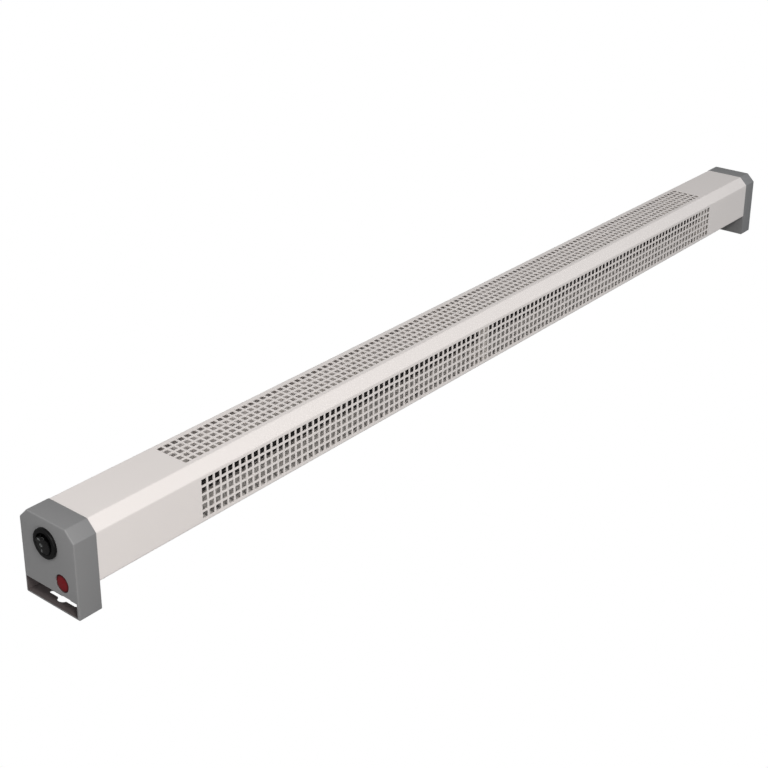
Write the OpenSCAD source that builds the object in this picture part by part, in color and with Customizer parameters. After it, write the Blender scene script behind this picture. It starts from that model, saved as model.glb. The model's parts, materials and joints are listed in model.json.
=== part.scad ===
// Low convector heater: a long perforated steel casing between two moulded end caps that are its feet.
// X runs along the heater from the switch end to the far end, Y from the front to the back and Z up.
// The origin is on the floor, midway between the two feet.

/* [Overall] */
// Length over both end caps
length = 1000; // [985:5:1200]
// Depth from front to back
depth = 57; // [56.5:0.5:70]
// Height of the end caps above the floor
height = 68.5; // [68:0.5:85]
// Leg of the 45 degree chamfers along the top edges
chamfer = 8.3; // [3:0.1:9]
// Height of the casing's underside above the floor
foot_h = 21.8; // [21.6:0.1:22.4]

/* [Casing] */
// Thickness of the folded steel sheet
sheet = 0.7; // [0.6:0.1:1]
// How far the end caps stand proud of the casing all round
cap_step = 0.3; // [0.1:0.1:0.6]
// Width of the casing's inward folds at the bottom
fold_w = 11; // [9.5:0.5:13]

/* [Grilles] */
// Side of each square hole
hole = 5; // [3.5:0.1:5.4]
// Distance from hole to hole, both ways
pitch = 6.7; // [6:0.1:6.8]
// Groups of columns along each grille
column_groups = 4; // [1:1:4]
// Rows of holes in each grille
rows = 5; // [2:1:5]
// From the casing's end to the centre of the front grille's first column
front_grille_start = 99.1; // [96:0.1:106]
// From the casing's underside to the centre of the front grille's lowest row
front_grille_rise = 6.2; // [5:0.1:7]
// From the casing's end to the centre of the top grille's first column
top_grille_start = 96.4; // [94:0.1:106]
// Least distance from the front grille's last column to the casing's far end
grille_end = 90; // [88:0.5:100]

/* [End caps] */
// Length of each end cap
cap_len = 19.4; // [18.8:0.1:24]
// Wall of the end caps
cap_wall = 2; // [1.6:0.1:2.2]
// Thickness of the floor in the feet
cap_floor = 1.3; // [1.1:0.1:2]
// Height of the window at the foot of each end face
window_h = 13.5; // [11:0.1:13.8]
// Wall beside the window at the front
window_front = 2; // [1.6:0.1:3]
// Wall beside the window at the back
window_back = 1; // [0.8:0.1:2]
// How far the caps' spigots reach into the casing
spigot_len = 10; // [8:0.5:12]
// Wall of the spigots
spigot_wall = 1.6; // [1.2:0.1:2]
// Width of the boss for each cap screw
boss_w = 7; // [6:0.5:8]
// Height of the boss for each cap screw
boss_h = 7; // [5:0.5:8]
// Width of the fixing slot in each foot
slot_w = 3.5; // [3:0.1:4]
// Length of the fixing slot from front to back
slot_len = 30; // [24:1:36]
// Diameter of the slot's round middle, for a screw's head
keyhole_d = 9.5; // [8.5:0.1:9.9]

/* [Switch] */
// From the top of the cap down to the switch's centre
switch_drop = 18.5; // [17:0.5:20]
// Distance of the switch behind the middle of the end face
switch_back = 1; // [0:0.5:3]
// Diameter of the round bezel
bezel_d = 23; // [22.6:0.1:24]
// Thickness of the bezel in front of the end face
bezel_t = 2.2; // [2.2:0.1:2.6]
// Wall of the bezel round its opening
bezel_rim = 3.2; // [3:0.1:3.2]
// Radius of the bezel's front edge
bezel_edge = 0.5; // [0.3:0.1:0.6]
// Diameter of the switch's body behind the end face
switch_d = 19.8; // [19.6:0.1:20]
// Depth of the switch's body behind the end face
switch_depth = 22; // [18:0.5:24]
// Width of the rocker
rocker_w = 13.8; // [13.4:0.1:13.8]
// Radius of the rocker's ends about its pivot
rocker_r = 9; // [8.8:0.1:9.2]
// Angle between one position of the rocker and the next
rocker_step = 10; // [9:0.5:10]
// Distance of the rocker's pivot behind the end face
pivot_depth = 2.5; // [2.4:0.1:2.6]
// How far the rocker's valley stands out from the bezel's face in the middle position
rocker_rise = 0.8; // [0.7:0.1:0.9]
// Angle of each of the rocker's faces from the bezel's face in the middle position
face_tilt = 6; // [5:0.5:6.5]
// Radius of the rocker's outline seen from the front
plan_r = 7.1; // [7:0.1:7.1]
// Thickness of the rocker's two faces
rocker_t = 1.3; // [1:0.1:1.3]
// Width of the rocker's stem
stem_w = 8.4; // [6:0.1:8.6]
// Height of the rocker's stem where it meets the faces
stem_h = 11; // [8:0.5:11]
// Height of the rocker's stem at its inner end
stem_end_h = 6; // [4:0.5:6]
// How far the stem reaches behind the pivot
stem_depth = 2; // [2:0.1:2.5]
// Diameter of the rocker's two pivot pins
pivot_d = 2.4; // [2:0.1:3]
// How far each pivot pin reaches into the switch's body
pivot_reach = 1.2; // [0.8:0.1:1.5]
// Width of the pocket for the stem
pocket_w = 10; // [9.6:0.1:10]
// Height of the pocket for the stem
pocket_h = 12; // [11.6:0.1:12.4]
// Depth of the pocket behind the end face
pocket_depth = 9; // [8:0.5:12]
// Reach of each snap ear beyond the switch's body
ear_reach = 0.8; // [0.5:0.1:1]
// Length of the snap ears
ear_len = 4; // [3:0.5:6]
// Height of the snap ears
ear_h = 5; // [3:0.5:7]
// Distance between the switch's blade terminals
switch_tab_pitch = 6; // [5:0.5:6]

/* [Blade terminals] */
// Width of a blade terminal
tab_w = 4.8; // [4.8:0.1:5.4]
// Thickness of a blade terminal
tab_t = 0.8; // [0.6:0.1:1]
// Length of a blade terminal
tab_len = 8; // [6:0.5:9]

/* [Pilot lamp] */
// Height of the lamp's centre above the floor
lamp_z = 23.3; // [23:0.1:23.8]
// Distance of the lamp in front of the middle of the end face
lamp_forward = 12.4; // [11:0.1:13.5]
// Diameter of the recess for the lens
lens_d = 13.9; // [13.4:0.1:14]
// Depth of the recess for the lens
lens_recess = 1.4; // [1.2:0.1:1.5]
// Thickness of the lens at its edge
lens_edge = 0.5; // [0.4:0.1:0.7]
// Rise of the lens's dome
lens_dome = 0.3; // [0.1:0.1:0.4]
// Diameter of the lens's skirt, which passes through the end wall
skirt_d = 11.5; // [11:0.1:11.9]
// Wall of the lens's skirt
skirt_wall = 1; // [0.8:0.1:1.2]
// Depth of the lens's skirt behind the end face
skirt_depth = 8; // [7:0.5:8.5]
// Gap between the lamp's blade terminals and the cap's inner wall
lamp_gap = 0.9; // [0.5:0.1:2]
// How far the lamp holder plugs into the skirt
holder_plug = 2; // [1:0.5:2.5]
// Diameter of the neon bulb
neon_d = 4; // [3:0.5:5]
// Length of the lamp's blade terminals
lamp_tab_len = 4; // [3:0.5:4]
// Width of the lamp's blade terminals
lamp_tab_w = 2.8; // [2:0.1:3]
// Distance between the lamp's two blade terminals
lamp_tab_pitch = 5; // [4:0.5:6]

/* [Heating elements] */
// Distance of each element's axis from the middle
element_offset = 9.5; // [9.3:0.1:10]
// From the top of the cap down to the elements' axes
element_drop = 25.5; // [24.5:0.5:26]
// Diameter over the fins
fin_d = 15; // [14:0.5:16.5]
// Thickness of each fin
fin_t = 1.2; // [1:0.1:2]
// Number of fins round each element
fin_count = 8; // [6:1:10]
// Diameter of the hub that carries the fins
hub_d = 9; // [8.5:0.1:10]
// Diameter of the sheathed rod inside the hub
rod_d = 6.5; // [6:0.1:7]
// How far each rod reaches past the partitions
rod_reach = 12.5; // [10:0.5:15]
// Gap between the fins and each partition, which leaves room to expand
fin_gap = 6.5; // [5:0.5:10]
// Diameter of the terminal pins at the rods' near ends
pin_d = 2.5; // [2:0.1:2.6]
// Length of the terminal pins
pin_len = 8; // [6:0.5:9]
// Distance between the two terminal pins of a rod
pin_pitch = 3; // [2.8:0.1:3.4]
// Diameter of the bushes that hold the rods
bush_d = 12; // [11:0.5:13]
// Diameter of the bushes' necks, inside the sheet
bush_neck_d = 9.5; // [9:0.5:10]
// Thickness of the bushes' flange on each side of the sheet
bush_flange = 2; // [1.5:0.5:3]

/* [Partitions] */
// From the casing's near end to the near partition
near_partition_at = 87.5; // [87:0.5:92]
// From the casing's far end to the far partition
far_partition_at = 82.5; // [80:0.5:84]
// From the casing's near end to the middle bracket
mid_bracket_at = 450.6; // [300:0.1:600]
// Length of the foot folded from each partition and bracket
bracket_foot = 12; // [10:0.5:14]

/* [Thermal cut-out] */
// From the top of the cap down to the cut-out's centre
cutout_drop = 10.5; // [10:0.5:11.5]
// Diameter of the cut-out's body
cutout_d = 16; // [14:0.5:16]
// Length of the cut-out's body
cutout_len = 9; // [7:0.5:10]
// How far the cut-out's sensing face stands into the warm side
cutout_nose = 1.5; // [1:0.1:2]
// Diameter of the cut-out's sensing face
cutout_nose_d = 14; // [12:0.5:14]
// Distance between the cut-out's two screws
cutout_screw_pitch = 24; // [23:0.5:26]
// Height of the cut-out's mounting plate
cutout_plate_h = 8; // [7:0.5:10]
// Distance between the cut-out's blade terminals
cutout_tab_pitch = 8; // [7:0.5:9]

/* [Terminal block] */
// From the casing's near end to the terminal block
block_at = 40; // [38:0.5:41]
// Length of the terminal block along the heater
block_len = 18; // [16:0.5:20]
// Distance between the block's three poles
pole_pitch = 10; // [9.8:0.1:10.4]
// Height of the terminal block
block_h = 13; // [12:0.5:16]
// Height of the poles' axes above the block's underside
pole_rise = 5.5; // [4.6:0.1:6]
// Outer diameter of the brass inserts
insert_d = 6; // [5.8:0.1:6.2]
// Bore of the brass inserts
insert_bore = 4.6; // [4.6:0.1:4.8]
// Diameter of the clamping screws
clamp_screw_d = 3; // [2.5:0.1:3.5]
// Diameter of the screw wells in the block
screw_well_d = 4.6; // [4:0.1:5]

/* [Earth stud] */
// From the casing's near end to the earth stud
earth_at = 70; // [69:0.5:71]
// From the back of the caps to the earth stud
earth_inset = 7.5; // [6.5:0.5:8.5]
// Diameter of the earth stud
earth_d = 4; // [3:0.5:5]
// Height of the earth stud above the base panel
earth_h = 11; // [9:0.5:14]
// Width across the corners of the nuts
nut_d = 8; // [7.5:0.1:9]
// Thickness of the nuts
nut_t = 3.2; // [2.4:0.1:3.5]
// Thickness of the earth wire's ring tag
tag_t = 0.8; // [0.6:0.1:1]
// Diameter of the earth wire's ring tag
tag_d = 8; // [7:0.5:9]

/* [Cable grommet] */
// From the casing's near end to the grommet
grommet_at = 22; // [20:0.5:24]
// Height of the grommet above the floor
grommet_z = 38; // [36:0.5:40]
// Bore of the grommet, for the supply cable
grommet_bore = 8.2; // [7:0.1:9]
// Diameter of the grommet's neck, inside the sheet
grommet_neck_d = 11; // [10.5:0.1:12]
// Diameter of the grommet's flanges
grommet_d = 15; // [14:0.5:17]
// Thickness of the grommet's inner flange
grommet_inner = 2; // [1.5:0.1:3]
// Thickness of the grommet's outer flange, which stays within the caps' depth
grommet_outer = 0.3; // [0.2:0.1:0.3]

/* [Screws and rivets] */
// Diameter of the casing's screws
screw_d = 3.5; // [3:0.1:4]
// Diameter of the screws' heads
screw_head_d = 6.6; // [6:0.1:7]
// Height of the screws' heads
screw_head_h = 1.2; // [1:0.1:1.3]
// Width of the cross in the screws' heads
cross_w = 1; // [0.8:0.1:1.2]
// Depth of the cross in the screws' heads
cross_depth = 0.7; // [0.4:0.1:0.8]
// How far the base screws reach past the base panel
screw_point = 1.5; // [1:0.1:2]
// From the casing's end to its cap screws
cap_screw_at = 5.5; // [4.5:0.1:6]
// Diameter of the small screws
small_screw_d = 3; // [2.5:0.1:3.5]
// Diameter of the small screws' heads
small_head_d = 5.4; // [5:0.1:6]
// Height of the small screws' heads
small_head_h = 1.6; // [1.2:0.1:2]
// Diameter of the rivets
rivet_d = 3.2; // [2.8:0.1:4]
// Diameter of the rivets' heads
rivet_head_d = 6; // [5:0.1:6.4]
// Height of the rivets' heads
rivet_head_h = 0.7; // [0.5:0.1:0.7]
// Distance between the two rivets of a foot
rivet_pitch = 10; // [8:0.5:10]

/* [Wires] */
// Diameter of the insulated wires
wire_d = 2.2; // [1.8:0.1:2.2]
// How far before and after each corner a wire bends
wire_bend = 4; // [3:0.5:4]

/* [Fits] */
// Gap between pieces that slide into each other
slide_gap = 0.2; // [0.1:0.05:0.3]
// Gap round the edge of a partition
plate_gap = 0.3; // [0.2:0.05:0.5]
// Radial gap round screws, rivets, rods and pins
shank_gap = 0.05; // [0.03:0.01:0.1]
// Radial gap of a screw's clearance hole
clear_gap = 0.2; // [0.1:0.05:0.3]

/* [Hidden] */
$fn = 48;
// Cuts run past the faces that they cut by this much
overrun = 1;
// Steps in each of the arcs that are drawn point by point
arc_steps = 6;

// Inset and levels of the nested sections, from the cap's skin inwards
casing_inset = cap_step;
lining_inset = casing_inset + sheet;
spigot_inset = lining_inset + slide_gap;
panel_z = foot_h + sheet;
deck_z = panel_z + sheet;
spigot_z = deck_z + slide_gap;
casing_len = length - 2 * cap_len;
casing_start = cap_len - length / 2;
near_sheet_x = casing_start + near_partition_at;
far_sheet_x = -casing_start - far_partition_at;
mid_sheet_x = casing_start + mid_bracket_at;
fold_y = depth / 2 - casing_inset - fold_w / 2;
switch_z = height - switch_drop;
element_z = height - element_drop;
cutout_z = height - cutout_drop;
earth_back = depth / 2 - earth_inset;
holder_len = cap_len - cap_wall - lamp_gap - lamp_tab_len - skirt_depth;
element_sides = [-1, 1];
grille_columns = (casing_len - front_grille_start - grille_end) / pitch + 1;
group_columns = floor(grille_columns / column_groups);
grille_len = column_groups * group_columns * pitch;
grille_w = rows * pitch;

// Section through the heater: an upright box with both top edges chamfered, inset evenly from the cap's skin
function section(inset, low) =
  let (slip = inset * (sqrt(2) - 1), side = depth / 2 - inset, top = height - inset)
  [
    [-side, low], [-side, height - chamfer - slip], [-depth / 2 + chamfer + slip, top],
    [depth / 2 - chamfer - slip, top], [side, height - chamfer - slip], [side, low]
  ];

// Extrudes a shape drawn in Y and Z along X
module along_x(len) {
  rotate([90, 0, 90]) linear_extrude(len) children();
}

// A cylinder that points along X from where it stands
module rod_x(d, len) {
  rotate([0, 90, 0]) cylinder(d = d, h = len);
}

// Children drawn for the near end also stand at the far end, mirrored
module at_end(far) {
  mirror([far ? 1 : 0, 0, 0]) translate([-length / 2, 0, 0]) children();
}

// One grille's sheet: rows of square holes in groups
module grille_sheet() {
  difference() {
    square([grille_len, grille_w]);
    for (group = [0 : column_groups - 1]) translate([group * group_columns * pitch, 0]) union() {
      for (row = [0 : rows - 1]) translate([0, (row + 1 / 2) * pitch]) union() {
        for (column = [0 : group_columns - 1])
          translate([(column + 1 / 2) * pitch, 0]) square(hole, center = true);
      }
    }
  }
}

front_grille_x = casing_start + front_grille_start - pitch / 2;
front_grille_z = foot_h + front_grille_rise - pitch / 2;
top_grille_x = casing_start + top_grille_start - pitch / 2;
top_grille_y = -grille_w / 2;

// The folded sheet without its two grilles
module casing_blank() {
  translate([casing_start, 0, 0]) along_x(casing_len) difference() {
    polygon(section(casing_inset, foot_h));
    polygon(section(lining_inset, foot_h + sheet));
    translate([casing_inset + fold_w - depth / 2, foot_h - overrun])
      square([depth - 2 * (casing_inset + fold_w), sheet + 2 * overrun]);
  }
}

// Front, top and back of the heater, punched and folded from one steel sheet
module casing() {
  color([0.84, 0.82, 0.8]) union() {
    difference() {
      casing_blank();
      translate([front_grille_x, -depth / 2, front_grille_z])
        cube([grille_len, lining_inset + overrun, grille_w]);
      translate([top_grille_x, top_grille_y, height - lining_inset - overrun])
        cube([grille_len, grille_w, lining_inset + overrun]);
      fold_holes();
      translate([casing_start + grommet_at, depth / 2 - lining_inset - overrun, grommet_z])
        rotate([-90, 0, 0]) cylinder(d = grommet_neck_d + 2 * shank_gap, h = sheet + 2 * overrun);
    }
    translate([front_grille_x, lining_inset - depth / 2, front_grille_z])
      rotate([90, 0, 0]) linear_extrude(sheet) grille_sheet();
    translate([top_grille_x, top_grille_y, height - lining_inset])
      linear_extrude(sheet) grille_sheet();
  }
}

// Places of the screws along the casing, as shares of its length
base_screw_shares = [0.12, 0.37, 0.63, 0.88];
base_screw_places = [
  for (s = base_screw_shares, side = element_sides) [casing_start + s * casing_len, side * fold_y]
];
cap_screw_places = [
  for (far = [-1, 1], side = element_sides) [far * (casing_start + cap_screw_at), side * fold_y]
];

module fold_holes() {
  for (at = concat(base_screw_places, cap_screw_places))
    translate([at[0], at[1], foot_h - overrun])
      cylinder(d = screw_d + 2 * clear_gap, h = sheet + 2 * overrun);
}

// Places of each partition's rivets: the foot of the near partition points to the switch end
foot_centres = [
  near_sheet_x - bracket_foot / 2,
  mid_sheet_x - bracket_foot / 2,
  -far_sheet_x - bracket_foot / 2
];
rivet_places = [
  for (i = [0 : 2], side = [-1, 1])
    [(i == 2 ? -1 : 1) * foot_centres[i], side * rivet_pitch / 2]
];

module panel_hole(at, d) {
  translate([at[0], at[1], panel_z - overrun]) cylinder(d = d, h = sheet + 2 * overrun);
}

// Sheet that closes the underside and carries everything inside
module base_panel() {
  width = depth - 2 * (lining_inset + slide_gap);
  panel_len = casing_len - 2 * slide_gap;
  color([0.72, 0.73, 0.74]) difference() {
    translate([-panel_len / 2, -width / 2, panel_z]) cube([panel_len, width, sheet]);
    for (at = base_screw_places) panel_hole(at, screw_d + 2 * shank_gap);
    for (at = cap_screw_places) panel_hole(at, screw_d + 2 * clear_gap);
    for (at = rivet_places) panel_hole(at, rivet_d + 2 * shank_gap);
    panel_hole([block_mid_x, block_screw_y], small_screw_d + 2 * shank_gap);
    panel_hole([casing_start + earth_at, earth_back], earth_d + 2 * shank_gap);
  }
}

// The fixing slot in a foot: a round middle for a screw's head and a narrow slot both ways
module foot_slot() {
  translate([cap_len / 2, 0, -overrun]) {
    cylinder(d = keyhole_d, h = cap_floor + 2 * overrun);
    for (side = [-1, 1])
      translate([0, side * (slot_len - slot_w) / 2, 0]) cylinder(d = slot_w, h = cap_floor + 2 * overrun);
    translate([-slot_w / 2, -(slot_len - slot_w) / 2, 0])
      cube([slot_w, slot_len - slot_w, cap_floor + 2 * overrun]);
  }
}

// One moulded end cap: an end face, a foot with a window and a floor, and a spigot inside the casing
module end_cap_shell() {
  shelf_z = window_h + cap_wall;
  inner_x = cap_len - cap_wall;
  difference() {
    union() {
      along_x(cap_len) polygon(section(0, 0));
      translate([inner_x, 0, 0]) along_x(cap_wall + spigot_len) polygon(section(spigot_inset, spigot_z));
    }
    translate([cap_wall, 0, 0]) along_x(inner_x - cap_wall) polygon(section(cap_wall, shelf_z));
    difference() {
      translate([inner_x - overrun, 0, 0]) along_x(cap_wall + spigot_len + 2 * overrun)
        polygon(section(spigot_inset + spigot_wall, spigot_z + spigot_wall));
      for (side = [-1, 1])
        translate([cap_len, side * fold_y - boss_w / 2, spigot_z]) cube([spigot_len, boss_w, boss_h]);
    }
    translate([-overrun, window_front - depth / 2, cap_floor])
      cube([inner_x + overrun, depth - window_front - window_back, window_h - cap_floor]);
    foot_slot();
    for (side = [-1, 1])
      translate([cap_len + cap_screw_at, side * fold_y, spigot_z - overrun])
        cylinder(d = screw_d + 2 * shank_gap, h = boss_h + 2 * overrun);
  }
}

lamp_y = -lamp_forward;

module near_end_cap() {
  color([0.5, 0.5, 0.5]) at_end(false) difference() {
    end_cap_shell();
    translate([-overrun, switch_back, switch_z]) rod_x(switch_d + 2 * slide_gap, cap_wall + 2 * overrun);
    translate([-overrun, lamp_y, lamp_z]) rod_x(skirt_d + 2 * shank_gap, cap_wall + 2 * overrun);
    translate([-overrun, lamp_y, lamp_z]) rod_x(lens_d, lens_recess + overrun);
  }
}

module far_end_cap() {
  color([0.5, 0.5, 0.5]) at_end(true) end_cap_shell();
}

// The rocker's side view about its pivot, first axis outwards and second axis up, in the middle position:
// two flat faces that meet in a shallow valley, with ends that are arcs about the pivot
face_r = pivot_depth + bezel_t + rocker_rise;
back_r = face_r - rocker_t / cos(face_tilt);
end_high_angle = acos(face_r * cos(face_tilt) / rocker_r) - face_tilt;
end_low_angle = acos(back_r * cos(face_tilt) / rocker_r) - face_tilt;

// Round bezel and body of the three-position switch, one moulding with snap ears behind the end wall
module switch_body() {
  color([0.08, 0.08, 0.08]) at_end(false) translate([0, switch_back, switch_z]) difference() {
    union() {
      rotate([0, 90, 0]) rotate_extrude($fn = 96) polygon(concat(
        [[0, -bezel_t]],
        [
          for (i = [0 : arc_steps])
            let (a = i * 90 / arc_steps)
            [bezel_d / 2 - bezel_edge * (1 - sin(a)), -bezel_t + bezel_edge * (1 - cos(a))]
        ],
        [[bezel_d / 2, 0], [switch_d / 2, 0], [switch_d / 2, switch_depth], [0, switch_depth]]
      ));
      translate([cap_wall + slide_gap, -switch_d / 2 - ear_reach, -ear_h / 2])
        cube([ear_len, switch_d + 2 * ear_reach, ear_h]);
    }
    translate([-bezel_t - overrun, 0, 0]) rod_x(bezel_d - 2 * bezel_rim, bezel_t + overrun);
    translate([-overrun, -pocket_w / 2, -pocket_h / 2]) cube([pocket_depth + overrun, pocket_w, pocket_h]);
    translate([pivot_depth, 0, 0]) rotate([90, 0, 0])
      cylinder(d = pivot_d + 2 * shank_gap, h = pocket_w + 2 * (pivot_reach + shank_gap), center = true);
  }
}

function rocker_arc(side) = [
  for (i = [0 : arc_steps])
    let (a = end_high_angle + (end_low_angle - end_high_angle) * i / arc_steps)
    [rocker_r * cos(a), side * rocker_r * sin(a)]
];

function reversed(list) = [for (i = [len(list) - 1 : -1 : 0]) list[i]];

module rocker_side_view() {
  polygon(concat([[face_r, 0]], rocker_arc(1), [[back_r, 0]], reversed(rocker_arc(-1))));
}

module stem_side_view() {
  polygon([
    [face_r, stem_h / 2], [(face_r + back_r) / 2, 0], [face_r, -stem_h / 2],
    [-stem_depth, -stem_end_h / 2], [-stem_depth, stem_end_h / 2]
  ]);
}

// Turns a side view, outwards and up, into a piece as wide as given along Y
module across(width) {
  translate([0, width / 2, 0]) rotate([90, 0, 0]) linear_extrude(width) mirror([1, 0]) children();
}

// The switch's rocker with its two pivot pins, stored with its lower half pressed
module rocker() {
  color([0.13, 0.13, 0.13]) at_end(false) translate([pivot_depth, switch_back, switch_z])
    rotate([0, -rocker_step, 0]) {
      intersection() {
        across(rocker_w) rocker_side_view();
        translate([-rocker_r, 0, 0]) rod_x(2 * plan_r, rocker_r);
      }
      across(stem_w) stem_side_view();
      rotate([90, 0, 0]) cylinder(d = pivot_d, h = pocket_w + 2 * pivot_reach, center = true);
    }
}

// A blade terminal that points along X, flat side up
module blade(width, len) {
  translate([0, -width / 2, -tab_t / 2]) cube([len, width, tab_t]);
}

module switch_terminals() {
  color([0.8, 0.8, 0.78]) at_end(false) for (row = [-1 : 1])
    translate([switch_depth, switch_back, switch_z + row * switch_tab_pitch]) blade(tab_w, tab_len);
}

// Red lens: a low dome in the recess of the end face, and a skirt through the end wall
module pilot_lens() {
  head_r = lens_d / 2 - slide_gap;
  head_x = lens_recess - lens_edge;
  dome_r = (head_r * head_r + lens_dome * lens_dome) / (2 * lens_dome);
  dome_angle = asin(head_r / dome_r);
  color([0.36, 0.08, 0.09]) at_end(false) translate([0, lamp_y, lamp_z]) rotate([0, 90, 0]) rotate_extrude()
    polygon(concat(
      [
        for (i = [0 : arc_steps])
          let (a = i * dome_angle / arc_steps)
          [dome_r * sin(a), head_x - lens_dome + dome_r * (1 - cos(a))]
      ],
      [
        [head_r, lens_recess], [skirt_d / 2, lens_recess], [skirt_d / 2, skirt_depth],
        [skirt_d / 2 - skirt_wall, skirt_depth], [skirt_d / 2 - skirt_wall, lens_recess], [0, lens_recess]
      ]
    ));
}

// Holder that plugs into the lens's skirt and carries the bulb
module pilot_holder() {
  color([0.85, 0.84, 0.8]) at_end(false) translate([0, lamp_y, lamp_z]) difference() {
    union() {
      translate([skirt_depth, 0, 0]) rod_x(skirt_d, holder_len);
      translate([skirt_depth - holder_plug, 0, 0]) rod_x(skirt_d - 2 * (skirt_wall + shank_gap), holder_plug);
    }
    translate([skirt_depth - holder_plug - overrun, 0, 0])
      rod_x(neon_d + 2 * shank_gap, holder_plug + overrun);
  }
}

// Glass bulb of the pilot lamp, with a round end towards the lens
module neon_bulb() {
  tip_x = lens_recess + neon_d / 2 + slide_gap;
  color([0.9, 0.75, 0.6]) at_end(false) translate([tip_x, lamp_y, lamp_z]) union() {
    sphere(d = neon_d);
    rod_x(neon_d, skirt_depth - tip_x);
  }
}

module pilot_terminals() {
  color([0.8, 0.8, 0.78]) at_end(false) for (side = [-1, 1])
    translate([skirt_depth + holder_len, lamp_y + side * lamp_tab_pitch / 2, lamp_z])
      blade(lamp_tab_w, lamp_tab_len);
}

// Sheet across the casing's inside, with a foot folded back along the base panel
module cross_sheet() {
  inset = lining_inset + plate_gap;
  along_x(sheet) polygon(section(inset, deck_z));
  translate([sheet - bracket_foot, inset - depth / 2, deck_z]) cube([bracket_foot, depth - 2 * inset, sheet]);
}

module element_holes(d) {
  for (side = element_sides)
    translate([-overrun, side * element_offset, element_z]) rod_x(d, sheet + 2 * overrun);
}

module foot_rivet_holes() {
  for (side = [-1, 1])
    translate([-bracket_foot / 2, side * rivet_pitch / 2, deck_z - overrun])
      cylinder(d = rivet_d + 2 * shank_gap, h = sheet + 2 * overrun);
}

// Partition between the wiring and the heating elements
module near_partition() {
  color([0.72, 0.73, 0.74]) translate([near_sheet_x, 0, 0]) difference() {
    cross_sheet();
    element_holes(bush_neck_d + 2 * shank_gap);
    foot_rivet_holes();
    translate([-overrun, 0, cutout_z]) rod_x(cutout_nose_d + 2 * clear_gap, sheet + 2 * overrun);
    for (side = [-1, 1])
      translate([-overrun, side * cutout_screw_pitch / 2, cutout_z])
        rod_x(small_screw_d + 2 * shank_gap, sheet + 2 * overrun);
  }
}

module far_partition() {
  color([0.72, 0.73, 0.74]) mirror([1, 0, 0]) translate([-far_sheet_x, 0, 0]) difference() {
    cross_sheet();
    element_holes(bush_neck_d + 2 * shank_gap);
    foot_rivet_holes();
  }
}

// Bracket that steadies both elements near the middle
module middle_bracket() {
  color([0.72, 0.73, 0.74]) translate([mid_sheet_x, 0, 0]) difference() {
    cross_sheet();
    element_holes(fin_d + 2 * slide_gap);
    foot_rivet_holes();
  }
}

fins_start = near_sheet_x + sheet + fin_gap;
fins_len = far_sheet_x - sheet - fin_gap - fins_start;

// Extruded fins round one heating rod
module element_fins(side) {
  translate([fins_start, side * element_offset, element_z]) along_x(fins_len) difference() {
    union() {
      circle(d = hub_d);
      intersection() {
        circle(d = fin_d);
        for (i = [0 : fin_count - 1])
          rotate((i + 1 / 2) * 360 / fin_count)
            translate([0, -fin_t / 2]) square([fin_d / 2 + overrun, fin_t]);
      }
    }
    circle(d = rod_d + 2 * shank_gap);
  }
}

module front_element_fins() {
  color([0.2, 0.2, 0.2]) element_fins(-1);
}

module rear_element_fins() {
  color([0.2, 0.2, 0.2]) element_fins(1);
}

rod_start = near_sheet_x - rod_reach;
rod_len = far_sheet_x + rod_reach - rod_start;

module element_rod(side) {
  translate([rod_start, side * element_offset, element_z]) rod_x(rod_d, rod_len);
}

module front_element_rod() {
  color([0.45, 0.44, 0.42]) element_rod(-1);
}

module rear_element_rod() {
  color([0.45, 0.44, 0.42]) element_rod(1);
}

// Two terminal pins at the near end of each rod
module element_pins() {
  color([0.8, 0.8, 0.78]) for (side = element_sides, pin = [-1, 1])
    translate([rod_start - pin_len, side * element_offset + pin * pin_pitch / 2, element_z])
      rod_x(pin_d, pin_len);
}

// Grooved bushes that snap into the partitions and hold the rods
module element_bushes() {
  color([0.9, 0.88, 0.84]) for (side = element_sides, sheet_x = [near_sheet_x, far_sheet_x - sheet])
    translate([sheet_x - bush_flange, side * element_offset, element_z]) difference() {
      union() {
        rod_x(bush_d, bush_flange);
        translate([bush_flange, 0, 0]) rod_x(bush_neck_d, sheet);
        translate([bush_flange + sheet, 0, 0]) rod_x(bush_d, bush_flange);
      }
      translate([-overrun, 0, 0]) rod_x(rod_d + 2 * shank_gap, sheet + 2 * (bush_flange + overrun));
    }
}

// Bimetal cut-out on the near partition, with its sensing face through the sheet
module thermal_cutout() {
  plate_w = cutout_screw_pitch + small_head_d + 2 * clear_gap;
  color([0.25, 0.2, 0.17]) translate([near_sheet_x, 0, cutout_z]) difference() {
    union() {
      translate([-cutout_len, 0, 0]) rod_x(cutout_d, cutout_len);
      rod_x(cutout_nose_d, sheet + cutout_nose);
      translate([-sheet, -plate_w / 2, -cutout_plate_h / 2]) cube([sheet, plate_w, cutout_plate_h]);
    }
    for (side = [-1, 1])
      translate([-sheet - overrun, side * cutout_screw_pitch / 2, 0])
        rod_x(small_screw_d + 2 * shank_gap, sheet + 2 * overrun);
  }
}

cutout_tab_x = near_sheet_x - cutout_len - tab_len;

module cutout_terminals() {
  color([0.8, 0.8, 0.78]) for (side = [-1, 1])
    translate([cutout_tab_x, side * cutout_tab_pitch / 2, cutout_z]) blade(tab_w, tab_len);
}

module cutout_screws() {
  color([0.75, 0.75, 0.75]) for (side = [-1, 1])
    translate([near_sheet_x - sheet - small_head_h, side * cutout_screw_pitch / 2, cutout_z]) {
      rod_x(small_head_d, small_head_h);
      translate([small_head_h, 0, 0]) rod_x(small_screw_d, 2 * sheet + screw_point);
    }
}

block_x = casing_start + block_at;
block_mid_x = block_x + block_len / 2;
block_w = 3 * pole_pitch;
block_screw_y = pole_pitch / 2;
pole_z = deck_z + pole_rise;
// Where the clamping screws stand along the block, as shares of its length
clamp_shares = [0.25, 0.75];

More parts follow.
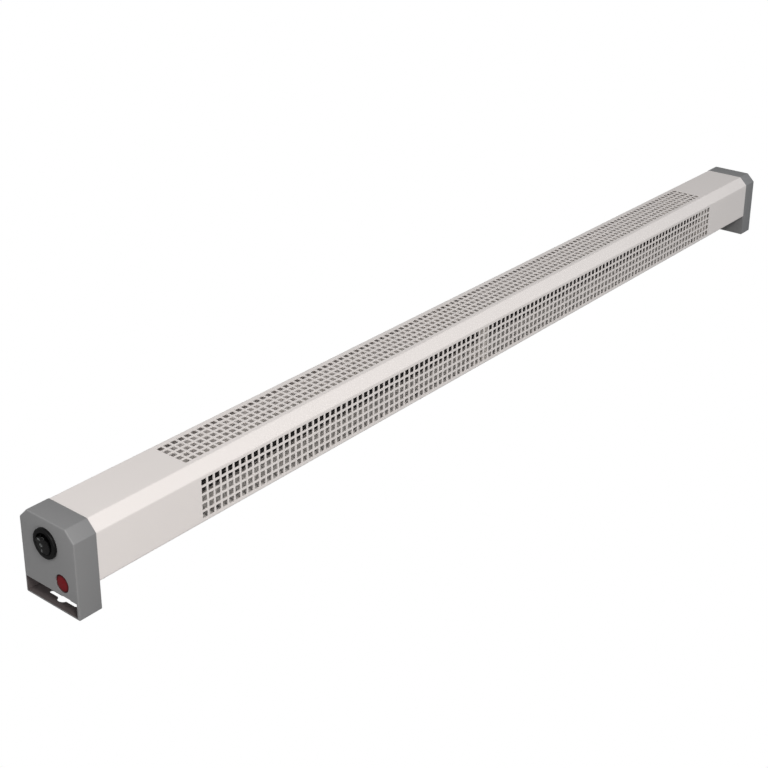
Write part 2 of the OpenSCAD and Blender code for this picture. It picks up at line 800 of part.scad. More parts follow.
// Three-pole terminal block
module terminal_block() {
  color([0.9, 0.89, 0.85]) difference() {
    translate([block_x, -block_w / 2, deck_z]) cube([block_len, block_w, block_h]);
    for (pole = [-1 : 1]) translate([block_x, pole * pole_pitch, pole_z]) {
      translate([-overrun, 0, 0]) rod_x(insert_d + 2 * shank_gap, block_len + 2 * overrun);
      for (s = clamp_shares) translate([s * block_len, 0, 0]) cylinder(d = screw_well_d, h = block_h);
    }
    translate([block_mid_x, block_screw_y, deck_z - overrun])
      cylinder(d = small_screw_d + 2 * shank_gap, h = block_h + 2 * overrun);
  }
}

module terminal_inserts() {
  color([0.8, 0.65, 0.35]) for (pole = [-1 : 1]) translate([block_x, pole * pole_pitch, pole_z]) difference() {
    rod_x(insert_d, block_len);
    translate([-overrun, 0, 0]) rod_x(insert_bore, block_len + 2 * overrun);
    for (s = clamp_shares)
      translate([s * block_len, 0, 0]) cylinder(d = clamp_screw_d + 2 * shank_gap, h = insert_d);
  }
}

module clamping_screws() {
  color([0.8, 0.65, 0.35]) for (pole = [-1 : 1], s = clamp_shares)
    translate([block_x + s * block_len, pole * pole_pitch, pole_z + wire_d / 2 + shank_gap])
      cylinder(d = clamp_screw_d, h = insert_d / 2 + screw_point);
}

module block_screw() {
  color([0.75, 0.75, 0.75]) translate([block_mid_x, block_screw_y, panel_z]) {
    cylinder(d = small_screw_d, h = sheet + block_h);
    translate([0, 0, sheet + block_h]) cylinder(d = small_head_d, h = small_head_h);
  }
}

// Earth stud: pressed into the base panel, with two nuts and the wire's ring tag between them
module earth_stud() {
  color([0.8, 0.65, 0.35]) translate([casing_start + earth_at, earth_back, panel_z])
    cylinder(d = earth_d, h = sheet + earth_h);
}

module earth_nuts() {
  color([0.8, 0.65, 0.35]) for (z = [deck_z, deck_z + nut_t + tag_t])
    translate([casing_start + earth_at, earth_back, z]) difference() {
      cylinder(d = nut_d, h = nut_t, $fn = 6);
      translate([0, 0, -overrun]) cylinder(d = earth_d + 2 * shank_gap, h = nut_t + 2 * overrun);
    }
}

module earth_tag() {
  color([0.8, 0.8, 0.78]) translate([casing_start + earth_at, earth_back, deck_z + nut_t]) difference() {
    cylinder(d = tag_d, h = tag_t);
    translate([0, 0, -overrun]) cylinder(d = earth_d + 2 * shank_gap, h = tag_t + 2 * overrun);
  }
}

// Rubber grommet in the back of the casing, where the supply cable enters
module cable_grommet() {
  color([0.1, 0.1, 0.1]) translate([casing_start + grommet_at, depth / 2 - casing_inset, grommet_z])
    rotate([-90, 0, 0]) difference() {
      union() {
        cylinder(d = grommet_d, h = grommet_outer);
        translate([0, 0, -sheet]) cylinder(d = grommet_neck_d, h = sheet);
        translate([0, 0, -sheet - grommet_inner]) cylinder(d = grommet_d, h = grommet_inner);
      }
      translate([0, 0, -sheet - grommet_inner - overrun])
        cylinder(d = grommet_bore, h = sheet + grommet_inner + grommet_outer + 2 * overrun);
    }
}

// Sides of a wire's section and steps in each of its bends
wire_sides = 8;
bend_steps = 4;

function unit(v) = v / norm(v);

// Straight runs between the points, with the corners rounded off
function rounded(points) = concat(
  [points[0]],
  [
    for (i = [1 : len(points) - 2], step = [0 : bend_steps])
      let (
        t = step / bend_steps,
        before = points[i] + wire_bend * unit(points[i - 1] - points[i]),
        after = points[i] + wire_bend * unit(points[i + 1] - points[i])
      )
      (1 - t) * (1 - t) * before + 2 * t * (1 - t) * points[i] + t * t * after
  ],
  [points[len(points) - 1]]
);

// Directions square to the wire, carried along it without twist
function carried(along, i, side) = i == len(along) ? [] :
  let (turned = unit(side - (side * along[i]) * along[i])) concat([turned], carried(along, i + 1, turned));

// A wire along the points, which starts along X or up
module wire(points) {
  path = rounded(points);
  last = len(path) - 1;
  along = [for (i = [0 : last]) unit(path[min(i + 1, last)] - path[max(i - 1, 0)])];
  sides = carried(along, 0, [0, 1, 0]);
  polyhedron(
    [
      for (i = [0 : last], k = [0 : wire_sides - 1])
        let (a = k * 360 / wire_sides)
        path[i] + wire_d / 2 * (cos(a) * sides[i] + sin(a) * cross(along[i], sides[i]))
    ],
    concat(
      [[for (k = [0 : wire_sides - 1]) k]],
      [
        for (i = [0 : last - 1], k = [0 : wire_sides - 1], half = [0, 1])
          let (
            a = i * wire_sides + k, b = i * wire_sides + (k + 1) % wire_sides,
            c = a + wire_sides, d = b + wire_sides
          )
          half == 0 ? [a, c, d] : [a, d, b]
      ],
      [[for (k = [wire_sides - 1 : -1 : 0]) last * wire_sides + k]]
    )
  );
}

// Places that the wires run to, with X measured from the near end face
switch_tab_x = switch_depth + tab_len;
switch_turn_x = switch_tab_x + 2 * wire_bend;
pin_x = cap_len + near_partition_at - rod_reach - pin_len;
cutout_tab_end = cap_len + near_partition_at - cutout_len - tab_len;
block_in_x = cap_len + block_at + clamp_shares[0] * block_len + clamp_screw_d / 2;
block_out_x = cap_len + block_at + clamp_shares[1] * block_len - clamp_screw_d / 2;
block_turn_x = cap_len + block_at + block_len + wire_bend + clear_gap;
lamp_tab_x = skirt_depth + holder_len + lamp_tab_len / 2;
lamp_tab_z = lamp_z + tab_t / 2;
pair_y = wire_d / 2 + shank_gap;
live_pins = [for (side = element_sides) [pin_x, side * element_offset - pin_pitch / 2, element_z]];
neutral_pins = [for (side = element_sides) [pin_x, side * element_offset + pin_pitch / 2, element_z]];

// Live wires: block to cut-out, cut-out to switch, switch to each element and to the pilot lamp
module live_wires() {
  lamp_wire_y = lamp_y - lamp_tab_pitch / 2;
  lamp_wire_z = spigot_z + boss_h + wire_d;
  low_tab_z = switch_z - switch_tab_pitch;
  high_tab_z = switch_z + switch_tab_pitch;
  near_block_x = cap_len + block_at - wire_bend;
  over_block_z = max(element_z, deck_z + block_h + wire_d);
  color([0.35, 0.2, 0.12]) at_end(false) {
    wire([
      [block_out_x, -pole_pitch, pole_z], [block_turn_x, -pole_pitch, pole_z],
      [block_turn_x, -element_offset - bush_d / 2, element_z],
      [cutout_tab_end - 2 * wire_bend, -cutout_tab_pitch / 2, cutout_z],
      [cutout_tab_end, -cutout_tab_pitch / 2, cutout_z]
    ]);
    wire([
      [cutout_tab_end, cutout_tab_pitch / 2, cutout_z],
      [cutout_tab_end - 2 * wire_bend, cutout_tab_pitch / 2, cutout_z],
      [switch_turn_x, switch_back, switch_z], [switch_tab_x, switch_back, switch_z]
    ]);
    wire([
      [switch_tab_x, switch_back, high_tab_z], [switch_turn_x, switch_back, high_tab_z],
      [near_block_x, live_pins[0][1], over_block_z],
      [pin_x - 2 * wire_bend, live_pins[0][1], over_block_z], live_pins[0]
    ]);
    wire([
      [switch_tab_x, switch_back + pair_y, low_tab_z], [switch_turn_x, switch_back + pair_y, low_tab_z],
      [near_block_x, live_pins[1][1], over_block_z],
      [pin_x - 2 * wire_bend, live_pins[1][1], over_block_z], live_pins[1]
    ]);
    wire([
      [lamp_tab_x, lamp_wire_y, lamp_tab_z], [lamp_tab_x, lamp_wire_y, lamp_wire_z],
      [switch_turn_x + wire_bend, lamp_y + lamp_tab_pitch, lamp_wire_z],
      [switch_turn_x + wire_bend, switch_back - pair_y, low_tab_z],
      [switch_tab_x, switch_back - pair_y, low_tab_z]
    ]);
  }
}

// Neutral wires: block to each element, and pilot lamp to block
module neutral_wires() {
  lamp_wire_y = lamp_y + lamp_tab_pitch / 2;
  lamp_wire_z = spigot_z + spigot_wall + 2 * wire_d;
  color([0.12, 0.25, 0.55]) at_end(false) {
    for (i = [0, 1])
      wire([
        [block_out_x, element_sides[i] * pair_y, pole_z], [block_turn_x, element_sides[i] * pair_y, pole_z],
        neutral_pins[i] - [2 * wire_bend, 0, 0], neutral_pins[i]
      ]);
    wire([
      [lamp_tab_x, lamp_wire_y, lamp_tab_z], [lamp_tab_x, lamp_wire_y, lamp_wire_z],
      [switch_tab_x + wire_bend, lamp_wire_y, lamp_wire_z],
      [cap_len + block_at - 2 * wire_bend, pair_y, pole_z], [block_in_x, pair_y, pole_z]
    ]);
  }
}

// Earth wire from the block to the ring tag
module earth_wire() {
  tag_end = [cap_len + earth_at - tag_d / 2 - shank_gap, earth_back, deck_z + nut_t + tag_t / 2];
  color([0.45, 0.6, 0.15]) at_end(false) wire([
    [block_out_x, pole_pitch, pole_z], [block_turn_x, pole_pitch, pole_z],
    tag_end - [wire_bend + clear_gap, 0, 0], tag_end
  ]);
}

// A cross-head screw that points up, with its head below where it stands
module screw_up(len) {
  cylinder(d = screw_d, h = len);
  translate([0, 0, -screw_head_h]) difference() {
    cylinder(d = screw_head_d, h = screw_head_h);
    for (turn = [0, 90])
      rotate(turn) translate([-screw_head_d / 2 + cross_w, -cross_w / 2, -overrun])
        cube([screw_head_d - 2 * cross_w, cross_w, cross_depth + overrun]);
  }
}

// Screws through the casing's folds into the base panel
module base_screws() {
  color([0.75, 0.75, 0.75]) for (at = base_screw_places)
    translate([at[0], at[1], foot_h]) screw_up(2 * sheet + screw_point);
}

// Screws through the casing's folds into the caps' bosses
module cap_screws() {
  color([0.75, 0.75, 0.75]) for (at = cap_screw_places)
    translate([at[0], at[1], foot_h]) screw_up(2 * sheet + boss_h);
}

// Rivets through the feet of the partitions and of the bracket
module bracket_rivets() {
  color([0.75, 0.75, 0.75]) for (at = rivet_places) translate([at[0], at[1], panel_z]) {
    cylinder(d = rivet_d, h = 2 * sheet);
    translate([0, 0, -rivet_head_h]) cylinder(d = rivet_head_d, h = rivet_head_h);
    translate([0, 0, 2 * sheet]) cylinder(d = rivet_head_d, h = rivet_head_h);
  }
}

casing();
base_panel();
near_end_cap();
far_end_cap();
switch_body();
rocker();
switch_terminals();
pilot_lens();
pilot_holder();
neon_bulb();
pilot_terminals();
near_partition();
far_partition();
middle_bracket();
front_element_fins();
rear_element_fins();
front_element_rod();
rear_element_rod();
element_pins();
element_bushes();
thermal_cutout();
cutout_terminals();
cutout_screws();
terminal_block();
terminal_inserts();
clamping_screws();
block_screw();
earth_stud();
earth_nuts();
earth_tag();
cable_grommet();
live_wires();
neutral_wires();
earth_wire();
base_screws();
cap_screws();
bracket_rivets();
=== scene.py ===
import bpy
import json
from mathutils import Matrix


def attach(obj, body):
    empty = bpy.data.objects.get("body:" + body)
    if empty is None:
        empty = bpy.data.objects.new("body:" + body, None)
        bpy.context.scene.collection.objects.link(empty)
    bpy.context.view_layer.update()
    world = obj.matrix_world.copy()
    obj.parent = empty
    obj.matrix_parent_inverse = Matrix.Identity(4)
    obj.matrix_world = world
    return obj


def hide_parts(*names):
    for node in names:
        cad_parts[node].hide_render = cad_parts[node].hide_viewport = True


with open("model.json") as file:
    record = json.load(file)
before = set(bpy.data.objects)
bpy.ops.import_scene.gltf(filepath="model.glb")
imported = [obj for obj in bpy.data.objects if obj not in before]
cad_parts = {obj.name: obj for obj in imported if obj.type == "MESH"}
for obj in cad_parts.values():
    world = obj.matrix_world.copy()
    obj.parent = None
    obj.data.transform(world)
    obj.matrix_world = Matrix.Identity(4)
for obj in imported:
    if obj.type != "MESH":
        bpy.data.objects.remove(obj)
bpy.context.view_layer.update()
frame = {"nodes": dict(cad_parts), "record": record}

import json
import math

import bmesh
import bpy
from mathutils import Matrix, Vector

scene = bpy.context.scene

# Shapes are given in millimetres, in place in the part's frame: X runs along the heater from the
# switch's end, Y from front to back and Z up. Lights and camera are given in metres.
mm = 0.001
half_length, half_depth, height = 500, 28.5, 68.5
overrun = 1  # How far a cutter reaches past the face that it opens
same = 0.001  # Places closer than this count as one


# The bmesh as a mesh, and a mesh, lamp or camera as an object of the scene
def as_mesh(bm, name):
    mesh = bpy.data.meshes.new(name)
    bm.to_mesh(mesh)
    bm.free()
    return mesh


def linked(name, data):
    obj = bpy.data.objects.new(name, data)
    scene.collection.objects.link(obj)
    return obj


# A piece of the visual model that stands for CAD nodes and wears the material of its slot
def piece(name, bm, body, slot, stands_for, smooth=25):
    bmesh.ops.recalc_face_normals(bm, faces=bm.faces)
    mesh = as_mesh(bm, name)
    for face in mesh.polygons:
        face.use_smooth = True
    mesh.set_sharp_from_angle(angle=math.radians(smooth))
    obj = linked(name, mesh)
    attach(obj, body)
    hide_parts(*stands_for)
    mesh.materials.append(finish[slot])


# A closed solid through rings of points that all have the same count
def loft(bm, rings):
    made = [[bm.verts.new([v * mm for v in p]) for p in ring] for ring in rings]
    for low, high in zip(made, made[1:]):
        for k in range(len(low)):
            n = (k + 1) % len(low)
            bm.faces.new((low[k], low[n], high[n], high[k]))
    bm.faces.new(made[0])
    bm.faces.new(made[-1])


def box(bm, low, high):
    (x_low, y_low, z_low), (x_high, y_high, z_high) = low, high
    loft(bm, [[(x, y_low, z_low), (x, y_high, z_low), (x, y_high, z_high), (x, y_low, z_high)]
              for x in (x_low, x_high)])


def circle(a, b, radius, sides):
    turns = (2 * math.pi * k / sides for k in range(sides))
    return [(a + radius * math.cos(t), b + radius * math.sin(t)) for t in turns]


# A solid turned about an axis along X: the profile is a list of places along X and radii
def turned(bm, profile, y, z, sides=96):
    loft(bm, [[(x, *p) for p in circle(y, z, r, sides)] for x, r in profile])


# A rod along Y between two places
def rod(bm, x, z, radius, ends, sides=32):
    loft(bm, [[(a, y, b) for a, b in circle(x, z, radius, sides)] for y in ends])


# Angles from nothing to a quarter turn
def quarter(steps):
    return [math.radians(90 * k / steps) for k in range(steps + 1)]


# One solid less others: each cutter is a function that fills a bmesh
def cut(bm, *cutters):
    bmesh.ops.recalc_face_normals(bm, faces=bm.faces)
    target = linked("whole", as_mesh(bm, "whole"))
    helpers = [target]
    for fill in cutters:
        part = bmesh.new()
        fill(part)
        bmesh.ops.recalc_face_normals(part, faces=part.faces)
        tool = linked("cutter", as_mesh(part, "cutter"))
        helpers.append(tool)
        modifier = target.modifiers.new("cut", "BOOLEAN")
        modifier.operation = "DIFFERENCE"
        modifier.solver = "EXACT"
        modifier.object = tool
    bpy.context.view_layer.update()
    evaluated = target.evaluated_get(bpy.context.evaluated_depsgraph_get())
    result = bmesh.new()
    result.from_mesh(bpy.data.meshes.new_from_object(evaluated))
    for helper in helpers:
        bpy.data.objects.remove(helper)
    return result


# A shader node: inputs gives a value or another node's output for an input, settings the rest
def add(tree, kind, inputs, **settings):
    made = tree.nodes.new(kind)
    for label, value in settings.items():
        setattr(made, label, value)
    for label, value in inputs.items():
        if isinstance(value, bpy.types.NodeSocket):
            tree.links.new(value, made.inputs[label])
        else:
            made.inputs[label].default_value = value
    return made


def calc(operation, a, b=None):
    inputs = {0: a} if b is None else {0: a, 1: b}
    return add(a.id_data, "ShaderNodeMath", inputs, operation=operation).outputs[0]


# Shared effects: uneven tone and fine grain, both from the object's own coordinates
def group(name, inputs, output, kind):
    tree = bpy.data.node_groups.new(name, "ShaderNodeTree")
    for label, value in inputs.items():
        socket = tree.interface.new_socket(label, in_out="INPUT", socket_type="NodeSocketFloat")
        socket.default_value = value
    tree.interface.new_socket(output, in_out="OUTPUT", socket_type=kind)
    given, result = tree.nodes.new("NodeGroupInput"), tree.nodes.new("NodeGroupOutput")
    place = add(tree, "ShaderNodeTexCoord", {}).outputs["Object"]
    noise = add(tree, "ShaderNodeTexNoise", {"Vector": place, "Scale": given.outputs["Scale"]})
    return tree, given.outputs, noise, result.inputs[output]


mottle, given, noise, result = group("Mottle", {"Scale": 20, "Amount": 0.05},
                                     "Factor", "NodeSocketFloat")
noise.inputs["Detail"].default_value = 3
uneven = calc("MULTIPLY", calc("SUBTRACT", noise.outputs["Fac"], 0.5), given["Amount"])
mottle.links.new(calc("ADD", uneven, 1), result)

grain, given, noise, result = group("Grain", {"Scale": 900, "Strength": 0.1},
                                    "Normal", "NodeSocketVector")
bump = add(grain, "ShaderNodeBump", {"Distance": 0.2 * mm, "Strength": given["Strength"],
                                     "Height": noise.outputs["Fac"]})
grain.links.new(bump.outputs["Normal"], result)


# A material with mottle on its colour and roughness and grain on its surface. The tone is the scale
# and amount of the mottle, the tooth is the scale and strength of the grain.
def material(name, colour, rough, metal=0, coat=0, tone=(25, 0.05), tooth=(900, 0.1), gloss=0.5):
    made = bpy.data.materials.new(name)
    made.use_nodes = True
    tree = made.node_tree
    tones = add(tree, "ShaderNodeGroup", {}, node_tree=mottle)
    teeth = add(tree, "ShaderNodeGroup", {}, node_tree=grain)
    tint = add(tree, "ShaderNodeVectorMath", {}, operation="SCALE")
    tint.inputs[0].default_value = colour
    roughness = calc("MULTIPLY", tones.outputs["Factor"], rough)
    shader = tree.nodes["Principled BSDF"].inputs
    for inputs, label, value in (
            (tones.inputs, "Scale", tone[0]), (tones.inputs, "Amount", tone[1]),
            (teeth.inputs, "Scale", tooth[0]), (teeth.inputs, "Strength", tooth[1]),
            (shader, "Metallic", metal), (shader, "Coat Weight", coat),
            (shader, "Specular IOR Level", gloss)):
        inputs[label].default_value = value
    tree.links.new(tones.outputs["Factor"], tint.inputs["Scale"])
    tree.links.new(tint.outputs["Vector"], shader["Base Color"])
    tree.links.new(roughness, shader["Roughness"])
    tree.links.new(teeth.outputs["Normal"], shader["Normal"])
    return made


finish = {
    "casing": material("Warm white powder coat", (0.78, 0.735, 0.715), 0.5,
                       tone=(8, 0.03), tooth=(700, 0.12)),
    "galvanised": material("Galvanised sheet", (0.7, 0.67, 0.64), 0.55, metal=0.1, tone=(90, 0.15)),
    "cap": material("Grey moulding", (0.222, 0.222, 0.225), 0.55,
                    tone=(30, 0.04), tooth=(1500, 0.15)),
    "switch": material("Black moulding", (0.003, 0.003, 0.0033), 0.4,
                       tooth=(1500, 0.1), gloss=0.2),
    "rocker": material("Rocker with marks", (0.004, 0.004, 0.0044), 0.4,
                       tooth=(1500, 0.05), gloss=0.22),
    "lens": material("Red lens", (0.15, 0.006, 0.009), 0.4, tone=(300, 0.2), gloss=0.2),
    "bulb": material("Bulb glass", (0.9, 0.75, 0.6), 0.1, coat=0.5),
    "nylon": material("Natural nylon", (0.75, 0.73, 0.66), 0.5),
    "bush": material("White bush", (0.8, 0.78, 0.72), 0.6),
    "bakelite": material("Brown moulding", (0.06, 0.035, 0.025), 0.35),
    # The fins' black base colour is painted shade; the rear element's fins are turned bare below
    "fins": material("Element fins", (0.015, 0.013, 0.012), 0.6),
    "rod": material("Heat-dulled sheath", (0.22, 0.2, 0.18), 0.5, metal=0.8, tone=(60, 0.3)),
    "tinned": material("Tinned blades", (0.7, 0.7, 0.68), 0.35, metal=1),
    "zinc": material("Zinc plate", (0.6, 0.6, 0.61), 0.4, metal=1, tone=(200, 0.2)),
    "brass": material("Brass", (0.66, 0.5, 0.22), 0.35, metal=1),
    "grommet": material("Black rubber", (0.02, 0.02, 0.02), 0.7),
    "live": material("Brown insulation", (0.16, 0.07, 0.03), 0.45),
    "neutral": material("Blue insulation", (0.03, 0.1, 0.35), 0.45),
    "earth": material("Green insulation", (0.2, 0.4, 0.04), 0.45),
}
slots = {part["node"]: part["material_slot"] for part in frame["record"]["subparts"]}
for name, node in frame["nodes"].items():
    node.data.materials.clear()
    node.data.materials.append(finish[slots[name]])

# Casing: one sheet of steel, laid out as a grid of lines along X and round the section.
# Its holes are cells left out of the grid, and every bend has a small radius.
half_casing, sheet_t = 480.6, 0.7
side_y, under_z, top_z = 28.2, 21.8, 68.2
shoulder_y, shoulder_z, fold_edge = 20.076, 60.076, 17.2
hole, pitch, columns, rows = 5.0, 6.7, 116, 5
front_first_x, front_first_z = -381.5, 28.0
top_first_x, top_first_y = -384.2, -13.4
entry_x, entry_z, entry_half = -458.6, 38, 4.7
edge_strip = 0.5  # Width of the cells beside each bend, which keep the flats evenly shaded
corners = [(-fold_edge, under_z), (-side_y, under_z), (-side_y, shoulder_z), (-shoulder_y, top_z),
           (shoulder_y, top_z), (side_y, shoulder_z), (side_y, under_z), (fold_edge, under_z)]
front, front_shoulder, top, back_shoulder, back = 1, 2, 3, 4, 5  # Numbers of the flats
bend_r = {1: 1.5, 2: 1.8, 3: 1.8, 4: 1.8, 5: 1.8, 6: 1.5}
bend_steps = 5


# Lines round the section as (place, outward normal, flat), with no flat in a bend. Stops give extra
# lines on each flat.
def section_lines(stops):
    found = []
    flats = []
    for a, b in zip(corners, corners[1:]):
        d = Vector((b[0] - a[0], b[1] - a[1])).normalized()
        flats.append((d, Vector((-d.y, d.x))))
    for i, (d, n) in enumerate(flats):
        start, end = Vector(corners[i]), Vector(corners[i + 1])
        if i > 0:
            start += d * bend_r[i] * math.tan(flats[i - 1][1].angle(n) / 2)
        if i + 1 < len(flats):
            end -= d * bend_r[i + 1] * math.tan(n.angle(flats[i + 1][1]) / 2)
        span = (end - start).length
        extra = {(Vector(s) - start).dot(d) for s in stops.get(i, [])}
        along = sorted({0, edge_strip, span - edge_strip, span} | extra)
        found += [(start + d * s, n, i) for s in along]
        if i + 1 < len(flats):
            after = flats[i + 1][1]
            centre = end - n * bend_r[i + 1]
            for k in range(1, bend_steps):
                way = n.lerp(after, k / bend_steps).normalized()
                found.append((centre + way * bend_r[i + 1], way, None))
    return found


# A sheet on the grid of places along X and lines round the section, less the cells that are holes
def perforated(bm, xs, lines, is_hole):
    def layer(depth):
        places = [p - n * depth for p, n, flat in lines]
        return [[bm.verts.new((x * mm, p.x * mm, p.y * mm)) for x in xs] for p in places]

    out, into = layer(0), layer(sheet_t)
    wide, high = len(xs) - 1, len(lines) - 1

    def there(i, j):
        return 0 <= i < wide and 0 <= j < high and not is_hole(i, j)

    for j in range(high):
        for i in range(wide):
            if not there(i, j):
                continue
            bm.faces.new((out[j][i], out[j][i + 1], out[j + 1][i + 1], out[j + 1][i]))
            bm.faces.new((into[j][i], into[j + 1][i], into[j + 1][i + 1], into[j][i + 1]))
            # A wall where the sheet ends: the neighbour's offset, and both ends of that edge
            for di, dj, a, b in ((0, -1, (j, i), (j, i + 1)), (0, 1, (j + 1, i + 1), (j + 1, i)),
                                 (-1, 0, (j + 1, i), (j, i)), (1, 0, (j, i + 1), (j + 1, i + 1))):
                if not there(i + di, j + dj):
                    bm.faces.new([side[r][c] for side, (r, c) in
                                  ((out, b), (out, a), (into, a), (into, b))])


# Both edges of each hole in a row of holes
def hole_edges(first, count):
    return [first + pitch * k + s * hole / 2 for k in range(count) for s in (-1, 1)]


# The cells of a flat that lie between both edges of a hole, measured along one axis of the section
def hole_rows(lines, flat, edges, axis):
    found = [j for j, (p, n, f) in enumerate(lines)
             if f == flat and min(abs(p[axis] - e) for e in edges) < same]
    return set(found[0::2])


front_rows = hole_edges(front_first_z, rows)
top_rows = hole_edges(top_first_y, rows)
entry_rows = [entry_z - entry_half, entry_z + entry_half]
split_y, split_z = (side_y + shoulder_y) / 2, (shoulder_z + top_z) / 2
lines = section_lines({front: [(-side_y, z) for z in front_rows],
                       front_shoulder: [(-split_y, split_z)],
                       top: [(y, top_z) for y in top_rows],
                       back_shoulder: [(split_y, split_z)],
                       back: [(side_y, z) for z in entry_rows]})
first_split, second_split = (
    next(j for j, (p, n, f) in enumerate(lines) if f == flat and abs(p.x - y) < same)
    for flat, y in ((front_shoulder, -split_y), (back_shoulder, split_y)))
casing = bmesh.new()
for part, flat, edges, axis, across in (
        (lines[:first_split + 1], front, front_rows, 1, hole_edges(front_first_x, columns)),
        (lines[first_split:second_split + 1], top, top_rows, 0, hole_edges(top_first_x, columns)),
        (lines[second_split:], back, entry_rows, 1, [entry_x - entry_half, entry_x + entry_half])):
    rows_left_out = hole_rows(part, flat, edges, axis)
    perforated(casing, [-half_casing] + across + [half_casing], part,
               lambda i, j: j in rows_left_out and i % 2 == 1)
piece("casing_sheet", casing, "heater", "casing", ["casing"], 30)

# End caps: a chamfered outline, lofted along X with a rounded rim at both ends.
# Places in a cap are measured from its end face inwards, so that both caps share them. The holes
# for the switch and the lamp are only in the near cap, at their own places.
cap_len, cap_wall, chamfer, corner_r = 19.4, 2.0, 8.3, 1.2
end_rim, inner_rim, corner_steps = 1.0, 0.3, 5
room_chamfer, shelf_z = 7.13, 15.5
foot_window = (-overrun, -26.5, 1.3), (17.4, 27.5, 13.5)
mouth = (16, -25.4, 25.6), (cap_len + overrun, 25.4, 58)
floor_cut = (-overrun, 2)
slot_x, slot_r, slot_half, slot_steps, keyhole_r = 9.7, 1.75, 13.25, 12, 4.75
switch_y, switch_z, switch_hole_r = 1.0, 50.0, 10.1
lamp_y, lamp_z, lamp_recess_r, lamp_hole_r = -12.4, 23.3, 6.95, 5.8
recess_x = -498.6


# Corners of a cap's section and of the room inside it
def section(half, bottom, peak, cut_off):
    right = [(half - cut_off, peak), (half, peak - cut_off), (half, bottom)]
    return [(-y, z) for y, z in reversed(right)] + right


def outline(inset):
    points = section(half_depth, 0, height, chamfer)
    loop = []
    for i, corner in enumerate(points):
        before, after = Vector(points[i - 1]), Vector(points[(i + 1) % len(points)])
        corner = Vector(corner)
        d1, d2 = (corner - before).normalized(), (after - corner).normalized()
        n1, n2 = Vector((-d1.y, d1.x)), Vector((-d2.y, d2.x))
        centre = corner - d1 * corner_r * math.tan(n1.angle(n2) / 2) - n1 * corner_r
        loop += [centre + n1.lerp(n2, k / corner_steps).normalized() * (corner_r - inset)
                 for k in range(corner_steps + 1)]
    return loop


def cap(far):
    def place(x, y, z):
        return (1 if far else -1) * (half_length - x), y, z

    def ring(x, inset):
        return [place(x, p.x, p.y) for p in outline(inset)]

    def block(low, high):
        return lambda bm: box(bm, place(*low), place(*high))

    # A straight slot along Y through the foot's floor, with a round hole in its middle
    def slot(bm):
        ends = ((side, math.pi * (k / slot_steps if side > 0 else 1 + k / slot_steps))
                for side in (1, -1) for k in range(slot_steps + 1))
        loop = [(slot_x + slot_r * math.cos(a), side * slot_half + slot_r * math.sin(a))
                for side, a in ends]
        loft(bm, [[place(x, y, z) for x, y in loop] for z in floor_cut])

    def keyhole(bm):
        loop = circle(slot_x, 0, keyhole_r, 64)
        loft(bm, [[place(x, y, z) for x, y in loop] for z in floor_cut])

    def room(bm):
        inner = section(half_depth - cap_wall, shelf_z, height - cap_wall, room_chamfer)
        loft(bm, [[place(x, y, z) for y, z in inner] for x in (cap_wall, cap_len - cap_wall)])

    def round_hole(y, z, radius, inner_x):
        return lambda bm: turned(bm, [(-half_length - overrun, radius), (inner_x, radius)], y, z)

    rings = [ring(end_rim * (1 - math.cos(a)), end_rim * (1 - math.sin(a))) for a in quarter(5)]
    rings += [ring(cap_len - inner_rim * (1 - math.sin(a)), inner_rim * (1 - math.cos(a)))
              for a in quarter(3)]
    body = bmesh.new()
    loft(body, rings)
    cutters = [block(*foot_window), slot, keyhole, room, block(*mouth)]
    if not far:
        through = -half_length + cap_wall + overrun
        cutters += [round_hole(switch_y, switch_z, switch_hole_r, through),
                    round_hole(lamp_y, lamp_z, lamp_recess_r, recess_x),
                    round_hole(lamp_y, lamp_z, lamp_hole_r, through)]
    return cut(body, *cutters)


piece("near_cap_shell", cap(False), "heater", "cap", ["near_end_cap"])
piece("far_cap_shell", cap(True), "heater", "cap", ["far_end_cap"])

# Switch: a bezel and body in one, cut by the round opening for the rocker, the pocket for its stem
# and the bores for its pins. Turned profiles start and end just off the axis.
bezel_t, bezel_r, bezel_rim = 2.2, 11.5, 0.5
body_r, body_end_x = 9.9, -478
opening_r, opening_x = 8.3, -503.5
pocket_half_y, pocket_half_z, pocket_x = 5, 6, (-500.5, -491)
bore_r, bore_half = 1.3, 6.4
pivot_x = -497.5
off_axis = 0.01
profile = [(-half_length - bezel_t + bezel_rim * (1 - math.cos(a)),
            bezel_r - bezel_rim * (1 - math.sin(a))) for a in quarter(6)]
profile += [(-half_length, bezel_r), (-half_length, body_r), (body_end_x, body_r)]
opening = [(opening_x, off_axis), (opening_x, opening_r), (-half_length, opening_r),
           (-half_length, off_axis)]
body = bmesh.new()
turned(body, profile, switch_y, switch_z)
body = cut(body, lambda bm: turned(bm, opening, switch_y, switch_z),
           lambda bm: box(bm, (pocket_x[0], switch_y - pocket_half_y, switch_z - pocket_half_z),
                          (pocket_x[1], switch_y + pocket_half_y, switch_z + pocket_half_z)),
           lambda bm: rod(bm, pivot_x, switch_z, bore_r,
                          (switch_y - bore_half, switch_y + bore_half)))
piece("switch_shell", body, "heater", "switch", ["switch_body"])

# Rocker: two flat faces that meet in a shallow valley, rounded along both sides, with its stem and
# pins. It is made about its pivot in the middle position, then turned so that the lower half is
# pressed.
rocker_r, plan_r, half_w, shell_t = 9, 7.1, 6.9, 1.3
step, tilt = math.radians(10), math.radians(6)
face_r = 5.5  # From the pivot to the valley
edge_r, edge_angle, edge_room = 0.3, math.radians(40), 0.1
stem_half, stem_top, pin_r, pin_half = 4.2, face_r - 0.6, 1.2, 6.2
stem = [(stem_top, 4), (stem_top, -4), (-2, -3), (-2, 3)]
back_r = face_r - shell_t / math.cos(tilt)
high = math.acos(face_r * math.cos(tilt) / rocker_r) - tilt
low = math.acos(back_r * math.cos(tilt) / rocker_r) - tilt
side_steps, across_steps = 4, 12


